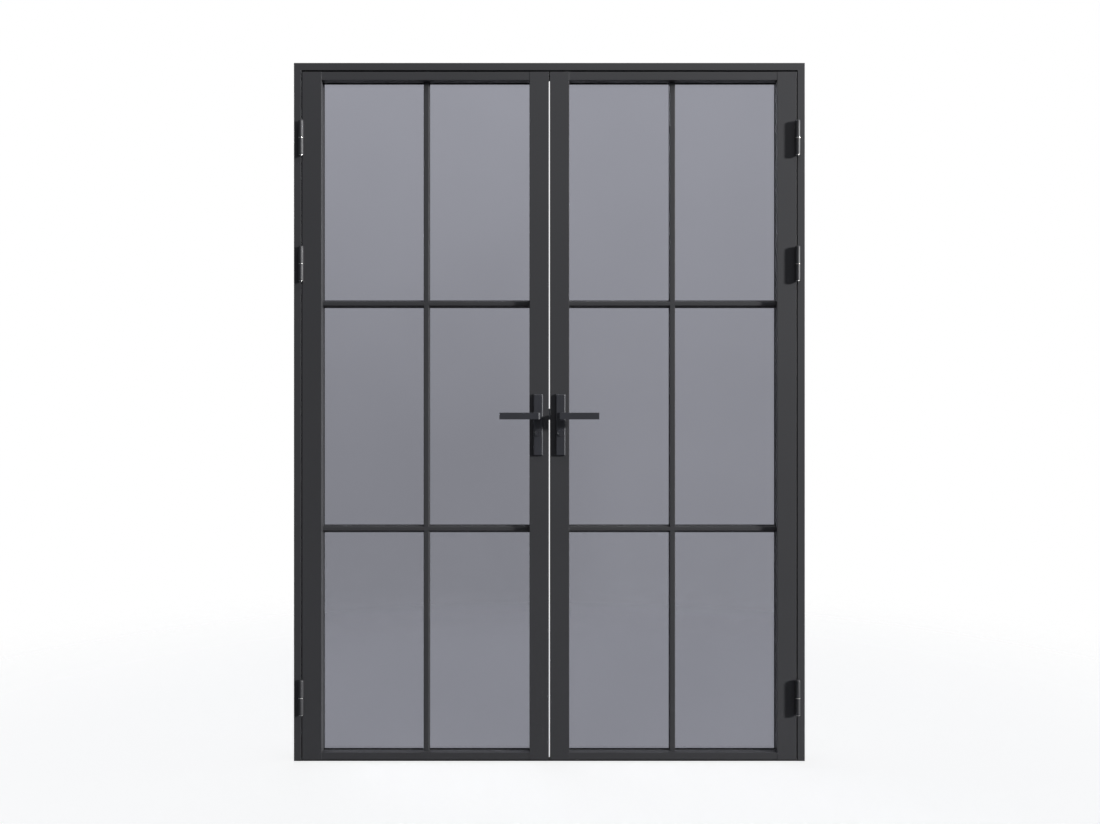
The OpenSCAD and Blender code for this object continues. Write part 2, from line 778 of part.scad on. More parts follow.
// Latch with its closing bevel towards the stop side, and a notched tail over the hub
module latch() {
    x0 = meeting_edge - latch_throw;
    tip_x = lever_x - arm_r * sin(half_turn);
    tip_z = lever_z + arm_r * cos(half_turn);
    notch = tip_r + notch_play;
    tail_z = lever_z + hub_r + 1;
    difference() {
        union() {
            translate([0, 0, latch_z[0]]) linear_extrude(latch_z[1] - latch_z[0])
                polygon([[x0, bolt_y[0]], [x0 + latch_head_depth, bolt_y[0]],
                    [x0 + latch_head_depth, bolt_y[1]], [x0 + latch_bevel_x, bolt_y[1]],
                    [x0, bolt_y[1] - latch_bevel_y]]);
            span_box([x0 + latch_head_depth - 1, tip_x + notch + 3], bolt_y, [tail_z, latch_z[1]]);
        }
        span_box([tip_x - notch, tip_x + notch], [bolt_y[0] - 1, bolt_y[1] + 1],
            [tail_z - 1, lever_z + arm_r + tip_r + run_gap]);
        // keeps the notch's roof clear of the tip at every angle
        y_rod(tip_x, tip_z, notch, [bolt_y[0] - 1, bolt_y[1] + 1]);
    }
}

// Deadbolt with the notch that the cam's tip drives
module deadbolt() {
    tip_x = lever_x + cam_r * sin(cam_turn);
    difference() {
        span_box([meeting_edge, bolt_end_x], bolt_y, bolt_z);
        span_box([tip_x - bolt_notch, tip_x + bolt_notch], [bolt_y[0] - 1, bolt_y[1] + 1],
            [cylinder_z - cam_r - tip_r - run_gap, bolt_z[1] + 1]);
    }
}

// Openings through which the latch and the deadbolt pass, in a plate that spans these X values
module bolt_openings(x) {
    for (z = [latch_z, bolt_z])
        span_box(x, inset(bolt_y, -pocket_gap), inset(z, -pocket_gap));
}

module lock_case() {
    difference() {
        span_box([face_inner_x, case_x1], case_y, case_z);
        span_box([face_inner_x + case_wall, case_x1 - case_wall], case_inner_y, inset(case_z, case_wall));
        bolt_openings([face_inner_x - 1, face_inner_x + case_wall + 1]);
        y_rod(lever_x, lever_z, case_bore_r + case_bore_fit, inset(case_y, -1));
        y_rod(lever_x, cylinder_z, cylinder_r + plate_hole_fit, inset(case_y, -1));
        for (z = face_screw_z)
            x_rod(lock_y, z, face_screw_r + thread_fit, [face_inner_x - 1, face_inner_x + case_wall + 1]);
    }
}

// Plate let into the meeting edge, countersunk for its screws
module edge_plate() {
    difference() {
        span_box([meeting_edge, face_inner_x], [lock_y - face_w / 2, lock_y + face_w / 2],
            [face_z0, face_z0 + face_h]);
        bolt_openings([meeting_edge - 1, face_inner_x + 1]);
        for (z = face_screw_z) edge_screw(z, thread_fit);
    }
}

edge_screw_head_h = 1.6;

module edge_screw(z, play) {
    translate([meeting_edge - (play > 0 ? EPS : 0), lock_y, z]) rotate([0, 90, 0]) {
        cylinder(h = edge_screw_head_h, r1 = face_screw_head + play, r2 = face_screw_r + play);
        cylinder(h = face_screw_length, r = face_screw_r + play);
    }
}

module edge_screws() {
    for (z = face_screw_z) edge_screw(z, 0);
}

cylinder_half = -plate_y + collar_h - 0.5;

// Cylinder body. Its window lets the cam swing below it.
module cylinder_body() {
    window = [lock_y - cam_t / 2 - run_gap, lock_y + cam_t / 2 + run_gap];
    difference() {
        y_rod(lever_x, cylinder_z, cylinder_r, [-cylinder_half, cylinder_half]);
        y_rod(lever_x, cylinder_z, plug_r + pin_fit, [-cylinder_half - 1, cylinder_half + 1]);
        span_box([lever_x - cylinder_r - 1, lever_x + cylinder_r + 1], window,
            [cylinder_z - cylinder_r - 1, cylinder_z + 2]);
    }
}

key_slot = [1.6, 8, 7]; // width, depth and height
plug_end_y = cylinder_half + 0.3;

// Turning plug with its key slot and its cam
module cylinder_plug() {
    difference() {
        y_rod(lever_x, cylinder_z, plug_r, [-cylinder_half, plug_end_y]);
        translate([lever_x - key_slot[0] / 2, -cylinder_half - 1, cylinder_z - key_slot[2] / 2])
            cube([key_slot[0], key_slot[1] + 1, key_slot[2]]);
    }
    driving_arm(cylinder_z, cam_turn - 90, cam_r, [lock_y - cam_t / 2, lock_y + cam_t / 2]);
}

turn_base_r = 7.5;
turn_base_h = 3;
turn_size = [6, 16, 26]; // thickness, depth and height of the grip

module thumbturn() {
    y_rod(lever_x, cylinder_z, turn_base_r, [plug_end_y, plug_end_y + turn_base_h]);
    translate([lever_x, plug_end_y + turn_base_h - EPS, cylinder_z])
        intersection() {
            translate([-turn_size[0] / 2, 0, -turn_size[2] / 2]) cube(turn_size);
            rotate([-90, 0, 0]) cylinder(h = turn_size[1], r = turn_size[2] / 2);
            translate([-turn_size[0], 0, 0]) rotate([0, 90, 0])
                cylinder(h = 2 * turn_size[0], r = turn_size[1]);
        }
}

// ---- Shoot bolts of the second leaf ----

// Case round the hub. Its bosses stand against the inside of the stile's face.
module gear_case() {
    boss_r = 5;
    inner_y = inset(case_y, case_wall);
    difference() {
        union() {
            span_box(gear_x, case_y, gear_z);
            for (x = [gear_x[0] + boss_inset[0], gear_x[1] - boss_inset[1]], z = inset(gear_z, boss_r + 1))
                y_rod(x, z, boss_r, [face_y + leaf_wall, case_y[0] + EPS]);
        }
        span_box(inset(gear_x, gear_wall), inner_y, inset(gear_z, gear_wall));
        y_rod(lever_x, lever_z, case_bore_r + case_bore_fit, inset(case_y, -1));
        translate([rod_top_x, lock_y, gear_z[0] - 1])
            cylinder(h = gear_z[1] - gear_z[0] + 2, r = rod_r + rod_fit);
    }
}

eye_y = [lock_y - rod_r, lock_y + rod_r];
eye_end_x = gear_x[1] - gear_wall - 1;

module eye_notch(x, z) {
    span_box(x, inset(eye_y, -1), [z - tip_r - notch_play, z + tip_r + notch_play]);
}

// Rod that shoots up into the head, with the eye that the hub's outer arm drives
module top_bolt() {
    tip_z = lever_z + arm_r * sin(half_turn);
    difference() {
        span_box([rod_top_x - eye_front, eye_end_x], eye_y, top_eye_z);
        eye_notch([rod_top_x - eye_front - 1, rod_top_x + tip_r + run_gap], tip_z);
    }
    translate([rod_top_x, lock_y, top_eye_z[1] - EPS])
        cylinder(h = rod_tip_top - top_eye_z[1] + EPS, r = rod_r);
}

// Rod that shoots down into the threshold strip. Its link passes under the hub to reach the inner arm.
module bottom_bolt() {
    inner_x = lever_x - arm_r;
    eye_x = [inner_x - tip_r - eye_back, inner_x + eye_front];
    tip_z = lever_z - arm_r * sin(half_turn);
    difference() {
        span_box(eye_x, eye_y, [link_z, bottom_eye_top]);
        eye_notch([inner_x - tip_r - 0.3, eye_x[1] + 1], tip_z);
    }
    span_box([eye_x[0], rod_top_x + rod_r], eye_y, [link_z, link_z + link_h]);
    translate([rod_top_x, lock_y, rod_tip_bottom])
        cylinder(h = link_z - rod_tip_bottom + EPS, r = rod_r);
}

module blank_cylinder() {
    y_rod(lever_x, cylinder_z, cylinder_r, [-cylinder_half, cylinder_half]);
}

// ---- What each node holds ----

color(STEEL) on_side("left") jamb();  // left_jamb
color(STEEL) jamb();  // right_jamb
color(STEEL) head();  // frame_head
color(STEEL) threshold();  // threshold_strip
color(RUBBER) seals();  // frame_seals
color(BRIGHT) keep();  // head_keep
color(BRIGHT) for (side = SIDES, z = hinge_z) on_side(side) hinge_pin(z);  // hinge_pins
color(BRIGHT) for (side = SIDES, z = hinge_z) on_side(side) hinge_washer(z);  // hinge_washers

for (side = SIDES) on_side(side) {
    color(HARDWARE) for (z = hinge_z) frame_knuckle(z);
    color(HARDWARE) for (z = hinge_z) door_knuckle(z);
    color(STEEL) hinge_stile();
    color(STEEL) meeting_stile();
    color(STEEL) rail(sight_z1, top_rail_h, 1);
    color(STEEL) rail(sight_z0, bottom_rail_h, -1);
    color(STEEL) for (i = [1:len(bar_z) - 1]) horizontal_bar(bar_z[i]);
    color(STEEL) horizontal_bar(bar_z[0]);
    color(STEEL) vertical_bars();
    color(GLASS) panes();
    color(RUBBER) gaskets();
    color(STEEL) beads();
    color(BRIGHT) spindle();
    color(HARDWARE) lever();
    color(HARDWARE) mirror([0, 1, 0]) lever();
    color(HARDWARE) outside_plate();
    color(HARDWARE) inside_plate();
    color(BRIGHT) handle_screws();
}

on_side("left") {
    color(BRIGHT) lock_case();  // left_lock_case
    color(BRIGHT) edge_plate();  // left_faceplate
    color(BRIGHT) edge_screws();  // left_faceplate_screws
    color(BRIGHT) latch();  // left_latch_bolt
    color(BRIGHT) deadbolt();  // left_deadbolt
    color(BRIGHT) hub([90 + half_turn]);  // left_lever_hub
    color(HARDWARE) cylinder_body();  // left_cylinder
    color(HARDWARE) cylinder_plug();  // left_cylinder_plug
    color(HARDWARE) thumbturn();  // left_thumbturn
}

on_side("right") {
    color(BRIGHT) gear_case();  // right_gear_case
    color(BRIGHT) edge_plate();  // right_strike_plate
    color(BRIGHT) edge_screws();  // right_strike_screws
    color(BRIGHT) hub([half_turn, 180 + half_turn]);  // right_lever_hub
    color(BRIGHT) top_bolt();  // right_top_bolt
    color(BRIGHT) bottom_bolt();  // right_bottom_bolt
    color(HARDWARE) blank_cylinder();  // right_blank_cylinder
}
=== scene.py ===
"""Finishes for a pair of glazed steel doors in a steel frame, and a plain studio round them."""

import json
import math

import bmesh
import bpy
import numpy as np
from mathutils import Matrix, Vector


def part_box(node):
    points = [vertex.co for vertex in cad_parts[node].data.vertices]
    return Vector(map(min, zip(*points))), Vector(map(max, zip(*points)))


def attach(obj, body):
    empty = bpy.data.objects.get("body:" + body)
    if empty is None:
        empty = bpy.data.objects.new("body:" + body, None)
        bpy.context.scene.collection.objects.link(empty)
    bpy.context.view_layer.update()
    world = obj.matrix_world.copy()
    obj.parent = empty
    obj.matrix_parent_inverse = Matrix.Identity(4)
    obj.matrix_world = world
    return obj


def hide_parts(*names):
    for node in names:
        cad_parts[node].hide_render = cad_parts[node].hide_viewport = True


bl_info = {
    "name": "Glazed steel doors",
    "version": (1, 0, 0),
    "blender": (4, 5, 0),
    "location": "View3D > Sidebar > Doors",
    "description": "Coats, glazes and furnishes a pair of glazed steel doors and lights them",
    "category": "Object",
}

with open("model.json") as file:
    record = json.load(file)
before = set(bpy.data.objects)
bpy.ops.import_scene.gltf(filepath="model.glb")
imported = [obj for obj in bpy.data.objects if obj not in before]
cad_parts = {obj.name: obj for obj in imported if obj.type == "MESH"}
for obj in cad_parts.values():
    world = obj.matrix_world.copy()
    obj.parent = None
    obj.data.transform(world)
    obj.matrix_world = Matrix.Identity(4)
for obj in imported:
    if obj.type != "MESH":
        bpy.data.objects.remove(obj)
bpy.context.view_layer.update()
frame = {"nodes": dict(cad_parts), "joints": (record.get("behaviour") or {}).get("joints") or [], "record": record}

MM = 0.001
SIDES = ("left", "right")
BODY_OF = {
    node: body
    for body, nodes in frame["record"]["behaviour"]["bodies"].items()
    for node in nodes
}

# Vertices closer than this are one vertex, and faces that turn by less than this are one flat face
WELD, FLAT = 0.001 * MM, math.radians(0.5)
# Faces that turn by more than this meet at an edge: on turned pieces in radians, on CAD pieces in degrees
TURNED_CREASE, CAD_CREASE_DEG = math.radians(35), 28
# An edge at least this long (metres) runs along a member, a glazing bar or a glazing bead
MEMBER_RUN, BAR_RUN, BEAD_RUN = 0.3, 0.2, 0.15
# A turned piece has this many sides
ROUND_SIDES = 64
# A screw's driving recess has this many lobes, which stand out by a share of its radius. At its mouth it is
# wider by the flare, and the lobes stand out less.
RECESS_LOBES, LOBING = 6, 0.14
RECESS_FLARE, FLARE_LOBING = 1.15, 0.12


def linear(code):
    """Linear colour of an sRGB hex code: the standard curve, a straight foot and a 2.4 power."""
    s = np.array([int(code[i : i + 2], 16) for i in (1, 3, 5)]) / 255
    return (*np.where(s <= 0.04045, s / 12.92, ((s + 0.055) / 1.055) ** 2.4).tolist(), 1.0)


def colour(name, code, description):
    """A colour setting whose default is an sRGB hex code"""
    return bpy.props.FloatVectorProperty(
        name=name, description=description, subtype="COLOR", size=4, min=0, max=1, default=linear(code)
    )


def length(name, millimetres, description):
    """A length setting whose default is given in millimetres"""
    return bpy.props.FloatProperty(
        name=name,
        description=description,
        subtype="DISTANCE",
        unit="LENGTH",
        precision=5,
        min=0.05 * MM,
        max=50 * MM,
        default=millimetres * MM,
    )


class DoorFinishes(bpy.types.PropertyGroup):
    coat: colour("Powder coat", "#343436", "Colour of the coated frame and leaves")
    handle: colour("Handles", "#2c2d32", "Colour of levers, plates and cylinders")
    rubber: colour("Rubber", "#141414", "Colour of gaskets and seals")
    glass: colour("Glass", "#82838b", "What the tinted glass lets through")
    steel: colour("Bright steel", "#c9c8c4", "Colour of washers and hinge pins")
    zinc: colour("Zinc plate", "#a9abae", "Colour of the plated lock parts")
    coat_roughness: bpy.props.FloatProperty(
        name="Coat roughness", description="Roughness of the powder coat", min=0, max=1, default=0.5
    )
    handle_roughness: bpy.props.FloatProperty(
        name="Handle roughness", description="Roughness of the handles", min=0, max=1, default=0.36
    )


class DoorSizes(bpy.types.PropertyGroup):
    member_edge: length("Member edge", 0.7, "Radius on the long edges of frame and leaf sections")
    bar_edge: length("Bar edge", 0.6, "Radius on the edges of the glazing bars")
    bead_edge: length("Bead edge", 0.8, "Radius on the edges of the glazing beads")
    fitting_edge: length("Fitting edge", 0.6, "Radius on the edges of levers and knuckles")
    plate_edge: length("Plate edge", 0.4, "Radius on the edges of plates")
    gasket_width: length("Gasket width", 4.5, "Width of the glazing gasket")
    lip_slope: length("Gasket lip", 1.5, "Width of the sloped lip of the gasket")
    recess_radius: length("Screw recess", 1.9, "Radius of the driving recess in a screw head")


class DoorStudio(bpy.types.PropertyGroup):
    floor: colour("Floor", "#e9e9e8", "Colour of the studio floor")
    wall: colour("Walls", "#f0f4ff", "Colour of the studio's walls")
    key_power: bpy.props.FloatProperty(
        name="Key light",
        description="Power of the soft light at the front right",
        unit="POWER",
        min=0,
        default=9400,
    )
    top_power: bpy.props.FloatProperty(
        name="Overhead light", description="Power of the soft light above", unit="POWER", min=0, default=26
    )
    fill: bpy.props.FloatProperty(
        name="Fill", description="Brightness of the studio's walls", min=0, max=4, default=0.15
    )
    backdrop: bpy.props.FloatProperty(
        name="Backdrop", description="Brightness of the white backdrop", min=0, max=4, default=1.0
    )
    lens: bpy.props.FloatProperty(
        name="Lens", description="Focal length of the camera", unit="CAMERA", min=10, max=200, default=35
    )


# ---- Node and material tools ----


def add(tree, kind, inputs=None, **settings):
    """Adds one node with its settings, and fills each input from another node's output or with a value."""
    node = tree.nodes.new(kind)
    for name, value in settings.items():
        setattr(node, name, value)
    for socket, value in (inputs or {}).items():
        if isinstance(value, bpy.types.NodeSocket):
            tree.links.new(value, node.inputs[socket])
        else:
            node.inputs[socket].default_value = value
    return node


def start_material(name):
    """A material with nothing but its output, and the piece's own place in metres to hang patterns on."""
    made = bpy.data.materials.new(name)
    made.use_nodes = True
    made.node_tree.nodes.clear()
    return made, made.node_tree, add(made.node_tree, "ShaderNodeTexCoord").outputs["Object"]


def noise(tree, place, period, stretch=(1, 1, 1), detail=2.0):
    """Noise whose blobs are about one period (metres) across, longer along an axis by its stretch."""
    scale = tuple(1 / (period * s) for s in stretch)
    mapped = add(tree, "ShaderNodeMapping", {"Vector": place, "Scale": scale})
    return add(
        tree, "ShaderNodeTexNoise", {"Vector": mapped.outputs[0], "Scale": 1.0, "Detail": detail}
    ).outputs["Fac"]


def between(tree, factor, low, high):
    """Turns the middle half of a noise into a number between low and high."""
    return add(
        tree,
        "ShaderNodeMapRange",
        {"Value": factor, "From Min": 0.25, "From Max": 0.75, "To Min": low, "To Max": high},
    ).outputs[0]


def shades(tree, factor, base, spread):
    """Mixes a slightly darker and a slightly lighter shade of the base colour by a noise."""
    dark = [c * (1 - spread) for c in base[:3]] + [1]
    light = [min(1, c * (1 + spread)) for c in base[:3]] + [1]
    even = between(tree, factor, 0, 1)
    return add(tree, "ShaderNodeMix", {0: even, 6: dark, 7: light}, data_type="RGBA").outputs[2]


def close_material(tree, shader):
    """Sends the finished shader to the surface"""
    add(tree, "ShaderNodeOutputMaterial", {"Surface": shader.outputs[0]})


def powder_coat(name, base, roughness):
    """Polyester powder baked on steel: a matt film that flows into shallow orange peel."""
    made, tree, place = start_material(name)
    # Film thickness drifts over half a metre, which shows as a faint change of shade
    drift = noise(tree, place, 0.5, detail=1.0)
    # Orange peel is 1 to 2 mm across. It is drawn at 2.4 mm so that it shows.
    peel = noise(tree, place, 2.4 * MM)
    # Grains in the film scatter the gloss at about 0.8 mm
    grain = noise(tree, place, 0.8 * MM, detail=1.0)
    bump = add(tree, "ShaderNodeBump", {"Height": peel, "Strength": 0.3, "Distance": 0.05 * MM})
    close_material(
        tree,
        add(
            tree,
            "ShaderNodeBsdfPrincipled",
            {
                "Base Color": shades(tree, drift, base, spread=0.05),
                "Roughness": between(tree, grain, roughness - 0.04, roughness + 0.05),
                "IOR": 1.5,
                "Normal": bump.outputs[0],
            },
        ),
    )
    return made


def satin_black(name, base, roughness):
    """Die-cast zinc alloy under a thin satin black lacquer, with the trace of its linishing."""
    made, tree, place = start_material(name)
    drift = noise(tree, place, 40 * MM, detail=1.0)
    # Linishing lines run along the door's width, 0.4 mm apart, drawn 25 times as long
    lines = noise(tree, place, 0.4 * MM, stretch=(25, 1, 1))
    bump = add(tree, "ShaderNodeBump", {"Height": lines, "Strength": 0.2, "Distance": 0.01 * MM})
    close_material(
        tree,
        add(
            tree,
            "ShaderNodeBsdfPrincipled",
            {
                "Base Color": shades(tree, drift, base, spread=0.06),
                "Roughness": between(tree, lines, roughness - 0.04, roughness + 0.05),
                "IOR": 1.5,
                "Specular IOR Level": 0.95,
                "Normal": bump.outputs[0],
            },
        ),
    )
    return made


def worked_metal(name, base, roughness, period, stretch):
    """Bare or plated metal with fine marks from its working, stretched along the direction of cut."""
    made, tree, place = start_material(name)
    marks = noise(tree, place, period, stretch=stretch)
    cloud = noise(tree, place, 12 * MM, detail=3.0)
    bump = add(tree, "ShaderNodeBump", {"Height": marks, "Strength": 0.25, "Distance": 0.01 * MM})
    close_material(
        tree,
        add(
            tree,
            "ShaderNodeBsdfPrincipled",
            {
                "Base Color": shades(tree, cloud, base, spread=0.08),
                "Metallic": 1.0,
                "Roughness": between(tree, marks, roughness - 0.06, roughness + 0.08),
                "Normal": bump.outputs[0],
            },
        ),
    )
    return made


def black_rubber(name, base):
    """Extruded EPDM: dull black, with a faint bloom and lines along the extrusion too fine to see."""
    made, tree, place = start_material(name)
    bloom = noise(tree, place, 60 * MM)
    # Talc-fine grain, drawn at 1 mm
    grain = noise(tree, place, 1.0 * MM)
    bump = add(tree, "ShaderNodeBump", {"Height": grain, "Strength": 0.3, "Distance": 0.04 * MM})
    close_material(
        tree,
        add(
            tree,
            "ShaderNodeBsdfPrincipled",
            {
                "Base Color": shades(tree, bloom, base, spread=0.15),
                "Roughness": between(tree, bloom, 0.62, 0.74),
                "IOR": 1.5,
                "Specular IOR Level": 0.35,
                "Normal": bump.outputs[0],
            },
        ),
    )
    return made


def tinted_glass(name, base):
    """Grey float glass: clear, polished by its own making, with a roller wave too slight to see edge on."""
    made, tree, place = start_material(name)
    cloud = noise(tree, place, 0.35, detail=1.0)
    # Roller wave has a pitch of about 0.3 m in toughened glass
    wave = noise(tree, place, 0.3, detail=0.0)
    bump = add(tree, "ShaderNodeBump", {"Height": wave, "Strength": 0.1, "Distance": 0.05 * MM})
    close_material(
        tree,
        add(
            tree,
            "ShaderNodeBsdfPrincipled",
            {
                "Base Color": shades(tree, cloud, base, spread=0.02),
                "Roughness": 0.0,
                "IOR": 1.52,
                "Transmission Weight": 1.0,
                "Normal": bump.outputs[0],
            },
        ),
    )
    return made


MATERIALS = {}


def finish(slot):
    """The material for a slot of the record, made at its first use"""
    colours = bpy.context.scene.door_finishes
    makers = {
        "frame_coat": lambda: powder_coat("charcoal powder coat", colours.coat, colours.coat_roughness),
        "handle_black": lambda: satin_black("satin black lacquer", colours.handle, colours.handle_roughness),
        # The marks run round the upright axis on turned pieces, and upright on plated ones
        "bright_steel": lambda: worked_metal(
            "turned bright steel", colours.steel, roughness=0.26, period=0.3 * MM, stretch=(20, 20, 1)
        ),
        "zinc_steel": lambda: worked_metal(
            "zinc plated steel", colours.zinc, roughness=0.36, period=0.5 * MM, stretch=(1, 1, 20)
        ),
        "black_rubber": lambda: black_rubber("black EPDM rubber", colours.rubber),
        "tinted_glass": lambda: tinted_glass("grey float glass", colours.glass),
    }
    if slot not in MATERIALS:
        MATERIALS[slot] = makers[slot]()
    return MATERIALS[slot]


# ---- Mesh tools ----


def dress(piece, nodes, slot):
    """Gives a finished piece the material of its slot and its body, and hides the CAD nodes that it stands for."""
    piece.data.materials.clear()
    piece.data.materials.append(finish(slot))
    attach(piece, BODY_OF[nodes[0]])
    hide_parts(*nodes)
    return piece


def coat_node(node, slot):
    """Puts a finish on a CAD node that keeps its own mesh."""
    data = frame["nodes"][node].data
    data.materials.clear()
    data.materials.append(finish(slot))


def grid_faces(rows, columns, copies, rows_close=False):
    """Faces of copies of a grid whose columns close on themselves: each cell joins its four corners."""
    i, j = np.meshgrid(np.arange(rows - (not rows_close)), np.arange(columns), indexing="ij")
    right, down = (j + 1) % columns, (i + 1) % rows
    cell = np.stack([i * columns + j, i * columns + right, down * columns + right, down * columns + j], -1)
    shift = np.arange(copies)[:, None, None] * rows * columns
    return (cell.reshape(-1, 4)[None] + shift).reshape(-1, 4)


def build(name, points, faces):
    """Closes seams and poles of a surface, turns its faces outwards and smooths it up to a sharp angle."""
    mesh = bpy.data.meshes.new(name)
    mesh.from_pydata(points.reshape(-1, 3).tolist(), [], faces.tolist())
    shell = bmesh.new()
    shell.from_mesh(mesh)
    bmesh.ops.remove_doubles(shell, verts=shell.verts, dist=WELD)
    bmesh.ops.holes_fill(shell, edges=[e for e in shell.edges if e.is_boundary])
    bmesh.ops.recalc_face_normals(shell, faces=shell.faces)
    shell.to_mesh(mesh)
    shell.free()
    mesh.polygons.foreach_set("use_smooth", np.ones(len(mesh.polygons), bool))
    mesh.set_sharp_from_angle(angle=TURNED_CREASE)
    piece = bpy.data.objects.new(name, mesh)
    bpy.context.collection.objects.link(piece)
    return piece


def turned(name, profile, centres, axis=2, flips=1, lobes=0):
    """A lathe: each profile row (radius, height, lobing) is turned round an axis through every centre.

    Point = centre + height along the axis + reach * (cos angle, sin angle),
    where reach = radius * (1 + lobing * cos(lobes * angle)).
    flips is +1 or -1, for all centres or for each, and turns the height round.
    """
    r, h, lobing = np.array(profile).T[:, :, None]
    angle = np.linspace(0, 2 * np.pi, ROUND_SIDES, endpoint=False)[None]
    radius = r * (1 + lobing * np.cos(lobes * angle))
    ring = np.zeros((len(profile), ROUND_SIDES, 3))
    ring[..., (axis + 1) % 3] = radius * np.cos(angle)
    ring[..., (axis + 2) % 3] = radius * np.sin(angle)
    centres = np.array(centres)
    points = np.repeat(ring[None], len(centres), 0)
    points[..., axis] = h[None] * np.broadcast_to(flips, len(centres))[:, None, None]
    points += centres[:, None, None]
    return build(name, points, grid_faces(len(profile), ROUND_SIDES, len(centres)))


def plain(*rows):
    """A lathe profile without lobes, from points (radius, height) and arrays of them"""
    points = np.concatenate([np.reshape(row, (-1, 2)) for row in rows])
    return np.column_stack([points, np.zeros(len(points))])


def rounded(corner, ease, upper):
    """Quarter circle that eases the outer corner (radius, height) of a lathe profile, walked upwards.

    Its centre lies one ease inwards, and one ease above a lower corner or below an upper one.
    """
    turn = np.linspace(0, np.pi / 2, 5)
    across, along = (np.cos(turn), np.sin(turn)) if upper else (np.sin(turn), -np.cos(turn))
    radius, height = corner
    return np.stack([radius - ease + ease * across, height + ease * (along - 1 if upper else along + 1)], -1)


def screw_profile(head, shank, cone, reach, ease, recess, lip, deep):
    """Countersunk screw on a lathe: its head is at height 0, its tip at its reach, up or down.

    The lobed recess narrows over its lip, goes down to its depth and ends in a cone as shallow as the lip.
    """
    way = math.copysign(1, reach)
    return [
        (0, reach, 0),
        (shank - ease, reach, 0),
        (shank, reach - way * ease, 0),
        (shank, way * cone, 0),
        (head, way * ease, 0),
        (head - ease, 0, 0),
        (recess * RECESS_FLARE, 0, FLARE_LOBING),
        (recess, way * lip, LOBING),
        (recess, way * deep, LOBING),
        (0, way * (deep + lip), 0),
    ]


def framed(name, profiles, spans_x, spans_z):
    """Closed rings with mitred corners: a profile carried round every upright rectangle.

    A profile point is (outset, y). Each corner moves outwards along its diagonal by the outset.
    """
    corner = np.array([[0, 0], [1, 0], [1, 1], [0, 1]])
    outwards = 2 * corner - 1
    rings = []
    for outset, y in (np.array(p).T for p in profiles):
        for x in spans_x:
            for z in spans_z:
                base = np.stack([np.array(x)[corner[:, 0]], np.array(z)[corner[:, 1]]], -1)
                flat = base[None] + outwards[None] * outset[:, None, None]
                ring = np.stack([flat[..., 0], np.broadcast_to(y[:, None], flat.shape[:2]), flat[..., 1]], -1)
                rings.append(ring)
    points = np.array(rings)
    return build(name, points, grid_faces(points.shape[1], 4, len(rings), rows_close=True))


def steps(node, axis):
    """The different places that a CAD node's vertices have along one axis, in order, to 0.01 mm."""
    data = frame["nodes"][node].data
    place = np.empty(len(data.vertices) * 3, np.float32)
    data.vertices.foreach_get("co", place)
    return np.unique(np.round(place.reshape(-1, 3)[:, axis].astype(float), 5))


def edge_turns(mesh):
    """For each edge: how far its two faces turn, whether the solid bulges there, its length and its middle.

    An edge bulges if the cross product of its two faces' normals points along the first face's walk round it.
    """
    loops, edges, faces = len(mesh.loops), len(mesh.edges), len(mesh.polygons)

    def read(things, name, size, kind=float):
        values = np.empty(size, np.float32 if kind is float else np.int32)
        things.foreach_get(name, values)
        return values.astype(kind)

    point = read(mesh.vertices, "co", len(mesh.vertices) * 3).reshape(-1, 3)
    ends = read(mesh.edges, "vertices", edges * 2, int).reshape(-1, 2)
    edge = read(mesh.loops, "edge_index", loops, int)
    first = read(mesh.loops, "vertex_index", loops, int)
    begin = read(mesh.polygons, "loop_start", faces, int)
    total = read(mesh.polygons, "loop_total", faces, int)
    normal = read(mesh.polygons, "normal", faces * 3).reshape(-1, 3)
    face = np.repeat(np.arange(faces), total)
    following = np.arange(loops) + 1
    following[begin + total - 1] = begin
    walk = point[first[following]] - point[first]
    pair = np.argsort(edge, kind="stable").reshape(-1, 2)
    a, b = normal[face[pair[:, 0]]], normal[face[pair[:, 1]]]
    turn = np.degrees(np.arccos(np.clip((a * b).sum(1), -1, 1)))
    bulges = (np.cross(a, b) * walk[pair[:, 0]]).sum(1) > 0
    middle = point[ends].mean(1)
    return turn, bulges, np.linalg.norm(point[ends[:, 0]] - point[ends[:, 1]], axis=1), middle


